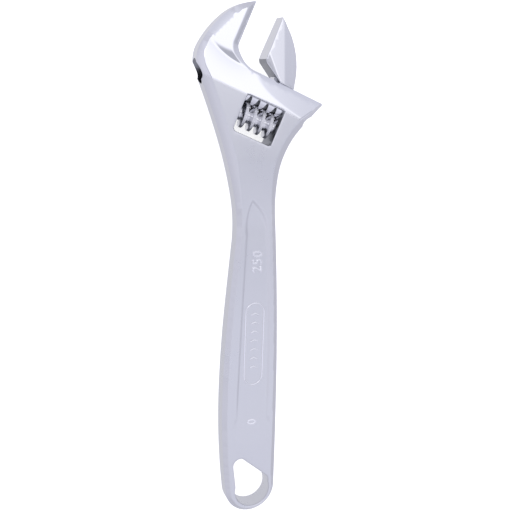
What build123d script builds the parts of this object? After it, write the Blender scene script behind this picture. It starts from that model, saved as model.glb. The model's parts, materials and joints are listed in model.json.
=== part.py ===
"""Adjustable wrench, 250 mm size: a forged body, a sliding jaw with its rack, and the worm that drives it.

The wrench lies flat. +Z is the thickness, +Y runs from the hanging hole to the jaws, +X is the side
that the shelf points to. The origin is the middle of the bounding box, at the face it lies on.

The head is turned by head_angle, so its features are laid out in head coordinates: u runs along the
slide, towards the opened position, and v runs square to it, towards the jaw tips.
"""
from math import cos, pi, radians, sin
import os

from build123d import *

os.makedirs("parts", exist_ok=True)

# ---- Driving dimensions, millimetres and degrees -------------------------------------------------
head_angle = 22.5
cheek_thickness = 13.0
plate_thickness = 10.4
edge_radius = 1.6

# Jaws and shelf, in head coordinates
jaw_opening = 14.5
moving_face_u = -38.0
fixed_face_u = moving_face_u - jaw_opening
jaw_tip_v = 116.15
throat_top_v = 95.5
shelf_v = 87.9
shelf_start_u = -41.1
shelf_end_u = -2.42
crease_v = 76.0
belly_end_v = 91.0

# Keyhole: a bore for the rack bar and a slot for the neck
rack_axis_v = 77.2
bar_radius = 4.45
bar_clearance = 0.1
neck_width = 5.4
tongue_start_u = -41.3
tongue_top_v = 88.4
bar_start_u = -51.7
jaw_back_u = -19.5
closing_travel = 14.3
slide_clearance = 0.15

# Worm, its window, pin and spring
pitch = 4.4
worm_axis_v = 68.2
worm_radius = 6.4
thread_depth = 2.8
thread_crest = 1.6
flank_slope = 0.25
thread_backlash = 0.25
rack_clearance = 2.2
thread_centre_u = -33.5
worm_start_u = -39.5
worm_end_u = -20.7
window_start_u = -40.1
window_end_u = -19.9
window_bottom_v = 59.2
window_top_v = 77.0
window_corner = 1.8
pin_radius = 1.75
pin_thread_radius = 2.5
pin_start_u = -46.8
pin_head_u = -10.2
pin_clearance = 0.05
screw_slot_width = 0.9
screw_slot_depth = 1.1
counterbore_radius = 2.75
counterbore_depth = 8.0
spring_radius = 2.2
spring_wire = 0.5
spring_turns = 7

# Cheeks: the thick part of the head
cheek_side = 2.2
cheek_start_y = 18.0
cheek_fade_y = 24.0
cheek_full_y = 56.0
belly_drop = 1.1
shelf_corner_drop = 0.3
shelf_tip_drop = 2.0

# Movable jaw
jaw_tip_thickness = 8.6
jaw_base_thickness = 12.8
jaw_edge_radius = 1.2
jaw_tip_flat_u = -35.9
jaw_foot_v = 94.9
relief_start = (-37.0, 93.4)
relief_end_u = -27.4
neck_front_u = -30.0
bar_chamfer = 0.6

# Handle
panel_depth = 0.9
panel_slope = 50.0
panel_top = (-3.4, 35.5)
panel_side_y = 20.0
panel_base_y = -75.0
end_radius = 13.1
end_centre = (0.7, -114.3)

# A length that is more than the head's width, for the cuts that run right through it
past_head = 90.0

# ---- Values that follow from them ----------------------------------------------------------------
mid_z = cheek_thickness / 2
proud = (cheek_thickness - plate_thickness) / 2
cosine = cos(radians(head_angle))
sine = sin(radians(head_angle))
fade_slope = proud / (cheek_full_y - cheek_fade_y)
root_radius = worm_radius - thread_depth
worm_length = worm_end_u - worm_start_u
thread_root = thread_crest + 2 * thread_depth * flank_slope
bore_radius = bar_radius + bar_clearance
slot_width = neck_width + 2 * bar_clearance
slot_start_u = tongue_start_u - closing_travel - 0.6
slot_top_v = tongue_top_v + 0.3
lead_tangent = pitch / (2 * pi * (worm_radius - thread_depth / 2))
groove_top_v = worm_axis_v + worm_radius + rack_clearance
spring_start_u = worm_end_u - counterbore_depth + 0.1
spring_length = window_end_u - spring_start_u - spring_wire - 0.1

slide_dir = (cosine, -sine, 0)
slide_axis = Axis((0, 0, mid_z), slide_dir)
middle = Plane.XY.offset(mid_z)
head_plane = Plane(origin=(0, 0, mid_z), x_dir=(cosine, -sine, 0), z_dir=(0, 0, 1))


def head(u, v):
    """The row point of a point given in head coordinates."""
    return (u * cosine + v * sine, -u * sine + v * cosine)


def across(u, v):
    """A plane through a head point at mid thickness, looking along u, with its own x along v."""
    x, y = head(u, v)
    return Plane(origin=(x, y, mid_z), x_dir=(sine, cosine, 0), z_dir=(cosine, -sine, 0))


def groove_half_width(v):
    """Half the width, at height v, of a rack groove that clears the thread on both flanks."""
    thread_radius = v - worm_axis_v
    return thread_crest / 2 + (worm_radius - thread_radius) * flank_slope + thread_backlash


def rack_cut_plane(u):
    """A plane on the rack's axis, facing along a groove, which leans by the thread's lead angle."""
    x, y = head(u, rack_axis_v)
    along = Vector(lead_tangent * cosine, -lead_tangent * sine, 1).normalized()
    upright = Vector(sine, cosine, 0)
    return Plane(origin=(x, y, mid_z), x_dir=upright.cross(along), z_dir=along)


# ---- Body ----------------------------------------------------------------------------------------
def arc_chain(start, heading, points):
    """Arcs through the points, each one leaving in the direction in which the last one arrived."""
    for point in points:
        arc = TangentArc(start, point, tangent=heading)
        start = arc @ 1
        heading = arc % 1
    return start


with BuildSketch(middle) as outline:
    with BuildLine():
        face = Line(head(fixed_face_u, jaw_tip_v), head(fixed_face_u, throat_top_v))
        throat = Spline(
            face @ 1,
            head(-47.4, 89.9),
            head(shelf_start_u, shelf_v),
            tangents=[(-sine, -cosine), (cosine, -sine)],
        )
        shelf = Line(throat @ 1, head(shelf_end_u, shelf_v))
        handle_end = CenterArc(end_centre, end_radius, 187, 173)
        arc_chain(
            handle_end @ 1,
            (0, 1),
            [(13.2, -55), (9.2, 28), (9.9, 48), (20.8, 70.9), shelf @ 1],
        )
        arc_chain(
            handle_end @ 0,
            (-sin(radians(7)), cos(radians(7))),
            [(-15.3, -62), (-13.3, -18), (-10.6, 14), (-11.9, 38.5), (-19.3, 66.4)]
            + [(-30.3, 95.6), (-29.7, 107.8), (-18.0, 121.8), face @ 0],
        )
    make_face()

with BuildSketch(middle) as cheek_outline:
    with BuildLine():
        cheek_shelf = Line(head(-48.0, 96.0), head(shelf_end_u - 3.0, 96.0))
        right_start = head(shelf_end_u - 2.6, shelf_v)
        Line(cheek_shelf @ 1, right_start)
        arc_chain(right_start, (-0.68, -0.73), [(19.2, 71.2), (7.7, 46.0), (7.4, cheek_start_y)])
        Line((7.4, cheek_start_y), (-9.0, cheek_start_y))
        arc_chain((-9.0, cheek_start_y), (-0.05, 1), [(-18.0, 66.4), (-28.6, 97.0)])
        Line((-28.6, 97.0), cheek_shelf @ 0)
    make_face()

with BuildSketch(Plane.XY.offset(mid_z + plate_thickness / 2 - panel_depth)) as panel_floor:
    with BuildLine():
        ThreePointArc(panel_top, (1.7, 29.4), (4.8, panel_side_y))
        ThreePointArc((4.8, panel_side_y), (6.9, -28.0), (7.4, panel_base_y))
        ThreePointArc((7.4, panel_base_y), (0.0, panel_base_y - 13.0), (-7.2, panel_base_y))
        ThreePointArc((-7.2, panel_base_y), (-6.3, -28.0), (-5.0, panel_side_y))
        ThreePointArc((-5.0, panel_side_y), (-4.7, 28.6), panel_top)
    make_face()

with BuildSketch(middle) as hanging_hole:
    with BuildLine():
        left_side = Line((-7.4, -113.0), (-8.9, -101.6))
        hole_top = TangentArc(left_side @ 1, (-4.2, -97.2), tangent=left_side % 1)
        slant = Line(hole_top @ 1, (8.7, -107.9))
        hole_corner = ThreePointArc(slant @ 1, (9.9, -109.5), (10.1, -112.0))
        ThreePointArc(hole_corner @ 1, (1.5, -124.3), left_side @ 0)
    make_face()


def cheeks():
    """The thick part of the head, sloping down to the handle, to its sides and towards the jaws."""
    with BuildPart() as pad:
        add(cheek_outline.sketch)
        extrude(amount=cheek_thickness / 2, both=True)
        sides = pad.faces().filter_by(Axis.Z).edges().filter_by(GeomType.CIRCLE)
        chamfer(sides, length=proud, length2=cheek_side)
        with BuildSketch(across(-past_head, 0)):
            with BuildLine():
                Polyline(
                    (crease_v, cheek_thickness / 2),
                    (belly_end_v, plate_thickness / 2),
                    (belly_end_v, cheek_thickness),
                    (crease_v, cheek_thickness),
                    close=True,
                )
            make_face()
            mirror(about=Plane.XZ)
        extrude(amount=past_head + 10.0, mode=Mode.SUBTRACT)
        with BuildSketch(Plane.YZ.offset(-past_head / 2)):
            with BuildLine():
                Polyline(
                    (cheek_start_y - 1, cheek_thickness - fade_slope * (cheek_full_y - cheek_start_y + 1)),
                    (cheek_full_y, cheek_thickness),
                    (cheek_start_y - 1, cheek_thickness + 1),
                    close=True,
                )
            make_face()
            mirror(about=Plane.XZ.offset(-mid_z))
        extrude(amount=past_head, mode=Mode.SUBTRACT)
        with BuildSketch(middle):
            add(outline.sketch)
            with Locations(head((fixed_face_u + shelf_end_u) / 2, belly_end_v + 20.0)):
                Rectangle(past_head, 40.0, rotation=-head_angle, mode=Mode.SUBTRACT)
        extrude(amount=cheek_thickness, both=True, mode=Mode.INTERSECT)
    return pad.part


with BuildPart() as body:
    add(outline.sketch)
    extrude(amount=plate_thickness / 2, both=True)
    fillet(body.faces().filter_by(Axis.Z).edges().filter_by(GeomType.CIRCLE), radius=edge_radius)
    add(cheeks())

    # The shelf is bevelled from the crease down to its edge, on both sides.
    bevel_start = Vector(*head(shelf_start_u, shelf_v - 0.4), cheek_thickness - belly_drop)
    bevel_end = Vector(*head(-7.4, 78.5), cheek_thickness - shelf_corner_drop)
    bevel_tip = Vector(*head(shelf_end_u, shelf_v), cheek_thickness - shelf_tip_drop)
    bevel_normal = (bevel_end - bevel_start).cross(bevel_tip - bevel_start)
    bevel = Plane(origin=bevel_start, x_dir=bevel_end - bevel_start, z_dir=bevel_normal)
    with BuildPart(mode=Mode.PRIVATE) as bevel_block:
        with BuildSketch(bevel):
            Rectangle(60.0, 14.0, align=(Align.MIN, Align.MIN))
        extrude(amount=4.0)
    add(bevel_block.part, mode=Mode.SUBTRACT)
    add(mirror(bevel_block.part, about=middle, mode=Mode.PRIVATE), mode=Mode.SUBTRACT)

    # A shallow panel on each side of the handle, with sloping sides
    with BuildPart(mode=Mode.PRIVATE) as panel_block:
        add(panel_floor.sketch)
        extrude(amount=2 * panel_depth, taper=-panel_slope)
    add(panel_block.part, mode=Mode.SUBTRACT)
    add(mirror(panel_block.part, about=middle, mode=Mode.PRIVATE), mode=Mode.SUBTRACT)

    # Hanging hole
    with BuildSketch(middle):
        add(hanging_hole.sketch)
    extrude(amount=plate_thickness, both=True, mode=Mode.SUBTRACT)

    # Window for the worm
    with BuildSketch(head_plane):
        with Locations(((window_start_u + window_end_u) / 2, (window_bottom_v + window_top_v) / 2)):
            RectangleRounded(window_end_u - window_start_u, window_top_v - window_bottom_v, window_corner)
    extrude(amount=cheek_thickness, both=True, mode=Mode.SUBTRACT)

    # Keyhole for the jaw: the bore runs right through the head, the slot opens on the shelf
    with BuildSketch(across(-past_head, rack_axis_v)):
        Circle(bore_radius)
    extrude(amount=past_head + 10.0, mode=Mode.SUBTRACT)
    with BuildSketch(head_plane):
        with Locations((slot_start_u, rack_axis_v)):
            Rectangle(60.0, slot_top_v - rack_axis_v, align=(Align.MIN, Align.MIN))
    extrude(amount=slot_width / 2, both=True, mode=Mode.SUBTRACT)

    # Blind hole for the pin's tip, and the tapped hole that holds its head
    with BuildSketch(across(pin_start_u - pin_clearance, worm_axis_v)):
        Circle(pin_radius + pin_clearance)
    extrude(amount=window_start_u - pin_start_u + 1.0, mode=Mode.SUBTRACT)
    with BuildSketch(across(window_end_u - 1.0, worm_axis_v)):
        Circle(pin_thread_radius + pin_clearance)
    extrude(amount=20.0, mode=Mode.SUBTRACT)
body.part.label = "body"


# ---- Movable jaw: jaw, neck and rack bar in one piece ----------------------------------------------
with BuildPart() as movable_jaw:
    # The jaw stands on the shelf; its inner corner is cut back to clear the throat
    with BuildSketch(head_plane) as jaw_outline:
        with BuildLine():
            Polyline(
                (jaw_tip_flat_u, jaw_tip_v - 2.1),
                (moving_face_u, jaw_tip_v - 0.8),
                (moving_face_u, jaw_foot_v),
                relief_start,
                (relief_end_u, shelf_v + slide_clearance),
                (jaw_back_u, shelf_v + slide_clearance),
            )
            ThreePointArc(
                (jaw_back_u, shelf_v + slide_clearance), (-25.4, 104.2), (jaw_tip_flat_u, jaw_tip_v - 2.1)
            )
        make_face()
    extrude(amount=cheek_thickness / 2, both=True)

    # It is thinner towards its tip
    with BuildSketch(across(bar_start_u, shelf_v)):
        Polygon(
            (0.0, -jaw_base_thickness / 2),
            (jaw_tip_v - shelf_v, -jaw_tip_thickness / 2),
            (jaw_tip_v - shelf_v, jaw_tip_thickness / 2),
            (0.0, jaw_base_thickness / 2),
            align=None,
        )
    extrude(amount=past_head, mode=Mode.INTERSECT)
    back_edges = movable_jaw.edges().filter_by(GeomType.ELLIPSE)
    fillet(back_edges, radius=jaw_edge_radius)

    # Neck and tongue, which run in the slot
    with BuildSketch(head_plane):
        with BuildLine():
            Polyline(
                (jaw_back_u, rack_axis_v),
                (jaw_back_u, shelf_v + 3.0),
                (neck_front_u, shelf_v + 3.0),
                (neck_front_u, tongue_top_v),
                (tongue_start_u, tongue_top_v),
                (tongue_start_u, rack_axis_v),
                close=True,
            )
        make_face()
    extrude(amount=neck_width / 2, both=True)

    # Rack bar, with a groove for each turn of the worm's thread, slanted by the lead angle
    with BuildSketch(across(bar_start_u, rack_axis_v)):
        Circle(bar_radius)
    extrude(amount=jaw_back_u - bar_start_u)
    bar_end = movable_jaw.edges().filter_by(GeomType.CIRCLE).sort_by(slide_axis)[0]
    chamfer(bar_end, length=bar_chamfer)
    for turn in range(-4, 4):
        with BuildSketch(rack_cut_plane(thread_centre_u + turn * pitch)):
            groove = Polygon(
                (-groove_half_width(worm_axis_v + 2.6), worm_axis_v + 2.6 - rack_axis_v),
                (groove_half_width(worm_axis_v + 2.6), worm_axis_v + 2.6 - rack_axis_v),
                (groove_half_width(groove_top_v), groove_top_v - rack_axis_v),
                (-groove_half_width(groove_top_v), groove_top_v - rack_axis_v),
                align=None,
            )
        extrude(amount=bar_radius + 1.5, both=True, mode=Mode.SUBTRACT)
movable_jaw.part.label = "movable_jaw"


# ---- Worm: the knurled adjusting screw ---------------------------------------------------------------
# It is built along Z from its left end, with X towards the rack, and then laid in its window.
with BuildPart() as worm:
    Cylinder(root_radius, worm_length, align=(Align.CENTER, Align.CENTER, Align.MIN))

    # Right-hand thread, swept past both ends and trimmed to the worm's length and outside
    thread_start = thread_centre_u - 2 * pitch - worm_start_u
    with BuildLine():
        thread_path = Helix(pitch, 6 * pitch, root_radius, center=(0, 0, thread_start))
    with BuildSketch(Plane(origin=thread_path @ 0, x_dir=(1, 0, 0), z_dir=thread_path % 0)):
        Polygon(
            (-0.2, -thread_root / 2),
            (-0.2, thread_root / 2),
            (thread_depth + 0.3, thread_crest / 2),
            (thread_depth + 0.3, -thread_crest / 2),
            align=None,
        )
    sweep(path=thread_path, is_frenet=True)
    with BuildPart(mode=Mode.PRIVATE) as blank:
        Cylinder(worm_radius, worm_length, align=(Align.CENTER, Align.CENTER, Align.MIN))
        chamfer(blank.edges().filter_by(GeomType.CIRCLE), length=0.5)
    add(blank.part, mode=Mode.INTERSECT)

    # Bore for the pin, and the counterbore that holds the spring
    with Locations((0, 0, worm_length)):
        CounterBoreHole(pin_radius + pin_clearance, counterbore_radius, counterbore_depth)
worm.part.locate(across(worm_start_u, worm_axis_v).location)
worm.part.label = "worm"


# ---- Worm pin: a slotted screw with a plain shank -----------------------------------------------------
with BuildPart() as worm_pin:
    with BuildSketch(across(pin_start_u, worm_axis_v)):
        Circle(pin_radius)
    extrude(amount=window_end_u - pin_start_u)
    with BuildSketch(across(window_end_u, worm_axis_v)):
        Circle(pin_thread_radius)
    extrude(amount=pin_head_u - window_end_u)
    chamfer(worm_pin.edges().filter_by(GeomType.CIRCLE).sort_by(slide_axis)[0], length=0.4)
    with BuildSketch(across(pin_head_u - screw_slot_depth, worm_axis_v)):
        Rectangle(2 * pin_thread_radius + 1.0, screw_slot_width)
    extrude(amount=screw_slot_depth, mode=Mode.SUBTRACT)
worm_pin.part.label = "worm_pin"


# ---- Worm spring: a compression spring with plain ends -------------------------------------------------
# It is built along Z from its left end, as the worm is.
with BuildPart() as worm_spring:
    with BuildLine():
        coil = Helix(spring_length / spring_turns, spring_length, spring_radius, center=(0, 0, spring_wire / 2))
    with BuildSketch(Plane(origin=coil @ 0, z_dir=coil % 0)):
        Circle(spring_wire / 2)
    sweep(path=coil, is_frenet=True)
worm_spring.part.locate(across(spring_start_u, worm_axis_v).location)
worm_spring.part.label = "worm_spring"


for piece in (body, movable_jaw, worm, worm_pin, worm_spring):
    export_step(piece.part, f"parts/{piece.part.label}.step")
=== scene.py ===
"""The looks of a 250 mm adjustable wrench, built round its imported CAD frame.

The wrench lies flat: +Z is its thickness, +Y runs from the hanging hole to the jaws. Lengths in the classes
below are millimetres, and each mesh is scaled to metres when it is made.

The head is turned from the handle, so its features are laid out in head coordinates: u runs along the slide,
towards the opened position, and v runs square to it, towards the jaw tips.
"""
from __future__ import annotations

import json
import logging
import math
from dataclasses import dataclass
from enum import Enum
from typing import Any, Callable, Sequence

import bmesh
import bpy
import numpy as np
from mathutils import Euler, Matrix, Vector
from mathutils.geometry import delaunay_2d_cdt


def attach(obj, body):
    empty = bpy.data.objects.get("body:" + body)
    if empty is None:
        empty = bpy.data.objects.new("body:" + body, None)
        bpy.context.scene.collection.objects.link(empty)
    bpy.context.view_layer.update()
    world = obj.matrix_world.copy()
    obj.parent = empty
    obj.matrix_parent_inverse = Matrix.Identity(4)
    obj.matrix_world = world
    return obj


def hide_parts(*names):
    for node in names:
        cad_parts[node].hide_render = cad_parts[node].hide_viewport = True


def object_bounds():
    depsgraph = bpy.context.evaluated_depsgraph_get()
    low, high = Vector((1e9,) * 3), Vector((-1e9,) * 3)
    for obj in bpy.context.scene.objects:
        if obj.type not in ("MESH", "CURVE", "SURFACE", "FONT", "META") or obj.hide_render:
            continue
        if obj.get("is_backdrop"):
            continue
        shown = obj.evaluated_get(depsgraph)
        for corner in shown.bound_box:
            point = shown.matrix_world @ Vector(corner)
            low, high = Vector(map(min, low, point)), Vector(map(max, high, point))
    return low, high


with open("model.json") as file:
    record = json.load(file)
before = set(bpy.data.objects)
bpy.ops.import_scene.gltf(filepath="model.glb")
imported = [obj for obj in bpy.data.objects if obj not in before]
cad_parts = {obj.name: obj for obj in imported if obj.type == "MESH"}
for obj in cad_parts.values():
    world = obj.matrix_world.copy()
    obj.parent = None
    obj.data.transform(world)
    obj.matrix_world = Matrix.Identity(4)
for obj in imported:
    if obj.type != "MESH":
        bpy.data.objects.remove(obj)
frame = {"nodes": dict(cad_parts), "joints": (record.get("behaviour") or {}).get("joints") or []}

LOG = logging.getLogger("wrench")
MM = 0.001
Point = tuple[float, float]
Colour = tuple[float, float, float]
Height = Callable[[np.ndarray], np.ndarray]


class Body(Enum):
    """The rigid bodies of the frame that pieces ride on."""

    FORGING = "body"
    JAW = "jaw"
    WORM = "worm"


# ---- Curves in the plane -------------------------------------------------------------------------


@dataclass(frozen=True)
class HeadAxes:
    """The directions of the head, from the axis that the jaw slides along.

    Args:
        angle: how far the head is turned from the handle, in radians.
    """

    angle: float

    def to_row(self, points: Sequence[Point] | np.ndarray) -> np.ndarray:
        """Row points of head points.

        Args:
            points: the head points, one row each.

        Returns:
            The row points, one row each.
        """
        p = np.asarray(points, float).reshape(-1, 2)
        c, s = math.cos(self.angle), math.sin(self.angle)
        return np.stack([p[:, 0] * c + p[:, 1] * s, -p[:, 0] * s + p[:, 1] * c], 1)

    def from_row(self, points: np.ndarray) -> tuple[np.ndarray, np.ndarray]:
        """The u and the v of row points."""
        c, s = math.cos(self.angle), math.sin(self.angle)
        return points[:, 0] * c - points[:, 1] * s, points[:, 0] * s + points[:, 1] * c

    def place(self, u: float, v: float, z: float) -> Matrix:
        """A placement whose Z runs along u, and whose X runs along v.

        Args:
            u: where its origin is along u, in millimetres.
            v: the same along v.
            z: the same along z.

        Returns:
            The matrix, in metres.
        """
        x, y = self.to_row([(u, v)])[0]
        c, s = math.cos(self.angle), math.sin(self.angle)
        turn = Matrix(((s, 0, c), (c, 0, -s), (0, 1, 0))).to_4x4()
        return Matrix.Translation(Vector((x, y, z)) * MM) @ turn


def line(start: Point, end: Point, step: float) -> np.ndarray:
    """Evenly spaced points along a straight run.

    Args:
        start: the first point.
        end: where the run ends.
        step: about how far apart the points are.

    Returns:
        The points, without the run's end.
    """
    start, end = np.asarray(start, float), np.asarray(end, float)
    count = max(1, round(float(np.linalg.norm(end - start)) / step))
    t = np.arange(count)[:, None] / count
    return start + (end - start) * t


def arc_through(start: Point, middle: Point, end: Point, step: float) -> np.ndarray:
    """Evenly spaced points on the arc through three points.

    Args:
        start: the first point.
        middle: a point on the way.
        end: where the arc ends.
        step: about how far apart the points are.

    Returns:
        The points, without the arc's end.
    """
    (ax, ay), (bx, by), (cx, cy) = start, middle, end
    d = 2 * (ax * (by - cy) + bx * (cy - ay) + cx * (ay - by))
    a2, b2, c2 = ax * ax + ay * ay, bx * bx + by * by, cx * cx + cy * cy
    x = (a2 * (by - cy) + b2 * (cy - ay) + c2 * (ay - by)) / d
    y = (a2 * (cx - bx) + b2 * (ax - cx) + c2 * (bx - ax)) / d
    first, via, last = (math.atan2(q - y, p - x) for p, q in (start, middle, end))
    sweep = (last - first) % (2 * math.pi)
    if (via - first) % (2 * math.pi) > sweep:
        sweep -= 2 * math.pi
    radius = math.hypot(ax - x, ay - y)
    count = max(2, round(abs(sweep) * radius / step))
    turn = first + sweep * np.arange(count) / count
    return np.stack([x + radius * np.cos(turn), y + radius * np.sin(turn)], 1)


def tangent_arcs(start: Point, heading: float, points: Sequence[Point], step: float) -> np.ndarray:
    """Arcs through the points, each one leaving in the direction in which the last one arrived.

    Args:
        start: the first point.
        heading: the direction in which the first arc leaves, in radians.
        points: where the arcs end.
        step: the spacing of the points returned.

    Returns:
        The points, without the last arc's end.
    """
    rows = []
    for point in points:
        dx, dy = point[0] - start[0], point[1] - start[1]
        chord = math.hypot(dx, dy)
        half = (math.atan2(dy, dx) - heading + math.pi) % (2 * math.pi) - math.pi
        length = chord * half / math.sin(half) if abs(half) > 1e-6 else chord
        count = max(2, round(length / step))
        t = np.arange(count) / count
        if abs(half) > 1e-6:
            x = start[0] + length * (np.sin(heading + 2 * half * t) - math.sin(heading)) / (2 * half)
            y = start[1] - length * (np.cos(heading + 2 * half * t) - math.cos(heading)) / (2 * half)
        else:
            x, y = start[0] + dx * t, start[1] + dy * t
        rows.append(np.stack([x, y], 1))
        start, heading = point, heading + 2 * half
    return np.concatenate(rows)


def hermite(start: Point, leave: Point, end: Point, arrive: Point, step: float) -> np.ndarray:
    """Points on a cubic that leaves and arrives with given tangents.

    Args:
        start: the first point.
        leave: the tangent there.
        end: where the cubic ends.
        arrive: the tangent there.
        step: about how far apart the points are.

    Returns:
        The points, without the cubic's end.
    """
    p0, m0, p1, m1 = (np.asarray(p, float) for p in (start, leave, end, arrive))
    count = max(4, round(float(np.linalg.norm(p1 - p0)) * 1.2 / step))
    t = (np.arange(count) / count)[:, None]
    return (
        p0 * (2 * t**3 - 3 * t**2 + 1)
        + m0 * (t**3 - 2 * t**2 + t)
        + p1 * (3 * t**2 - 2 * t**3)
        + m1 * (t**3 - t**2)
    )


def nearest(points: np.ndarray, track: np.ndarray, values: np.ndarray | None = None) -> tuple:
    """How far points are from an open polyline, and a value read where each one is nearest to it.

    Args:
        points: the points to measure, one row each.
        track: the polyline's points, one row each.
        values: a number for each point of the polyline, or None.

    Returns:
        The distances, and the values, or None.
    """
    a, b = track[:-1], track[1:]
    run = b - a
    length = np.maximum((run**2).sum(1), 1e-12)
    far, read = np.empty(len(points)), np.empty(len(points))
    for first in range(0, len(points), 4000):
        p = points[first : first + 4000, None, :]
        t = np.clip(((p - a) * run).sum(2) / length, 0, 1)
        gap = ((p - a - t[..., None] * run) ** 2).sum(2)
        best = gap.argmin(1)
        rows = np.arange(len(best))
        far[first : first + len(best)] = np.sqrt(gap[rows, best])
        if values is not None:
            share = t[rows, best]
            read[first : first + len(best)] = values[best] * (1 - share) + values[best + 1] * share
    return far, None if values is None else read


def inside(points: np.ndarray, loop: np.ndarray) -> np.ndarray:
    """Which of the points lie within a closed loop.

    Args:
        points: the points to test, one row each.
        loop: the loop's points, one row each.

    Returns:
        One truth value for each point.
    """
    a, b = loop, np.roll(loop, -1, 0)
    within = np.zeros(len(points), bool)
    for first in range(0, len(points), 4000):
        p = points[first : first + 4000]
        x, y = p[:, :1], p[:, 1:]
        spans = (a[:, 1] > y) != (b[:, 1] > y)
        rise = np.where(b[:, 1] == a[:, 1], 1e-12, b[:, 1] - a[:, 1])
        crossing = a[:, 0] + (y - a[:, 1]) * (b[:, 0] - a[:, 0]) / rise
        within[first : first + 4000] = (spans & (x < crossing)).sum(1) % 2 == 1
    return within


def soft_min(a: np.ndarray, b: np.ndarray, blend: float) -> np.ndarray:
    """The lower of two heights, rounded where they are within blend of each other."""
    near = np.maximum(blend - np.abs(a - b), 0) / blend
    return np.minimum(a, b) - near**2 * blend / 4


def soft_max(a: np.ndarray, b: np.ndarray, blend: float) -> np.ndarray:
    """The higher of two heights, rounded where they are within blend of each other."""
    return -soft_min(-a, -b, blend)


def ease(t: np.ndarray) -> np.ndarray:
    """A smooth step from 0 to 1 while t goes from 0 to 1."""
    t = np.clip(t, 0, 1)
    return t * t * (3 - 2 * t)


# ---- Meshes --------------------------------------------------------------------------------------


def new_piece(name: str, mesh: bpy.types.Mesh) -> bpy.types.Object:
    """Links a new object that shows the mesh or curve.

    Args:
        name: what it is called.
        mesh: its mesh or curve.

    Returns:
        The object.
    """
    piece = bpy.data.objects.new(name, mesh)
    bpy.context.scene.collection.objects.link(piece)
    return piece


def mesh_from(name: str, vertices: np.ndarray, faces: Sequence[Sequence[int]]) -> bpy.types.Mesh:
    """A mesh in metres from vertices in millimetres.

    Args:
        name: what it is called.
        vertices: the vertices, one row each.
        faces: each face's vertices, by number.

    Returns:
        The mesh.
    """
    mesh = bpy.data.meshes.new(name)
    mesh.from_pydata([tuple(v) for v in np.asarray(vertices) * MM], [], [tuple(f) for f in faces])
    mesh.update()
    return mesh


def shade(mesh: bpy.types.Mesh, sharp_above: float) -> None:
    """Shades a mesh smooth, with sharp edges where faces meet at more than sharp_above degrees."""
    mesh.shade_smooth()
    mesh.set_sharp_from_angle(angle=math.radians(sharp_above))


def bake_modifiers(piece: bpy.types.Object) -> None:
    """Replaces a piece's mesh by what its modifiers make of it.

    Args:
        piece: the piece.
    """
    graph = bpy.context.evaluated_depsgraph_get()
    graph.update()
    made = bpy.data.meshes.new_from_object(piece.evaluated_get(graph))
    piece.modifiers.clear()
    piece.data = made


def cut(piece: bpy.types.Object, cutters: Sequence[bpy.types.Mesh]) -> None:
    """Cuts closed meshes out of a piece.

    Args:
        piece: the piece.
        cutters: the meshes to take away from it.
    """
    tools = [new_piece("cutter", mesh) for mesh in cutters]
    for tool in tools:
        modifier = piece.modifiers.new("cut", "BOOLEAN")
        modifier.operation = "DIFFERENCE"
        modifier.solver = "EXACT"
        modifier.object = tool
    bake_modifiers(piece)
    for tool in tools:
        bpy.data.objects.remove(tool)


def rod_mesh(radius: float, length: float, place: Matrix, sides: int = 96) -> bpy.types.Mesh:
    """A round bar that starts at the placement's origin and runs along its Z.

    Args:
        radius: its radius, in millimetres.
        length: its length, in millimetres.
        place: where it starts.
        sides: how many sides its circle has.

    Returns:
        The closed mesh.
    """
    shape = bmesh.new()
    shift = Matrix.Translation((0, 0, length * MM / 2))
    r, depth = radius * MM, length * MM
    bmesh.ops.create_cone(
        shape, cap_ends=True, segments=sides, radius1=r, radius2=r, depth=depth, matrix=place @ shift
    )
    mesh = bpy.data.meshes.new("rod")
    shape.to_mesh(mesh)
    shape.free()
    return mesh


def block_mesh(low: Sequence[float], high: Sequence[float], place: Matrix) -> bpy.types.Mesh:
    """A block between two corners in the placement's own axes.

    Args:
        low: the lowest corner, in millimetres.
        high: the highest corner.
        place: where the axes are.

    Returns:
        The closed mesh.
    """
    shape = bmesh.new()
    size = [(b - a) * MM for a, b in zip(low, high)]
    middle = [(a + b) * MM / 2 for a, b in zip(low, high)]
    grow = Matrix.Translation(middle) @ Matrix.Diagonal((*size, 1))
    bmesh.ops.create_cube(shape, size=1.0, matrix=place @ grow)
    mesh = bpy.data.meshes.new("block")
    shape.to_mesh(mesh)
    shape.free()
    return mesh


def face_places(mesh: bpy.types.Mesh) -> tuple[np.ndarray, np.ndarray]:
    """Where a mesh's faces are, in millimetres, and their normals.

    Args:
        mesh: the mesh, in metres.

    Returns:
        The middles and the normals, one row for each face.
    """
    middles = np.array([face.center[:] for face in mesh.polygons]) / MM
    return middles, np.array([face.normal[:] for face in mesh.polygons])


def paint(mesh: bpy.types.Mesh, which: np.ndarray, slot: int) -> None:
    """Gives the chosen faces the material in one of the mesh's slots."""
    for face in np.flatnonzero(which):
        mesh.polygons[int(face)].material_index = slot


def trim(shape: bmesh.types.BMesh, point: Sequence[float], normal: Sequence[float]) -> None:
    """Cuts off what lies past a plane, and closes the cut.

    Args:
        shape: the shape to trim.
        point: a point of the plane, in metres.
        normal: the plane's normal, which points to what goes.
    """
    everything = [*shape.verts, *shape.edges, *shape.faces]
    made = bmesh.ops.bisect_plane(
        shape, geom=everything, plane_co=point, plane_no=normal, clear_outer=True
    )["geom_cut"]
    bmesh.ops.contextual_create(shape, geom=[e for e in made if isinstance(e, bmesh.types.BMEdge)])


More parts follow.
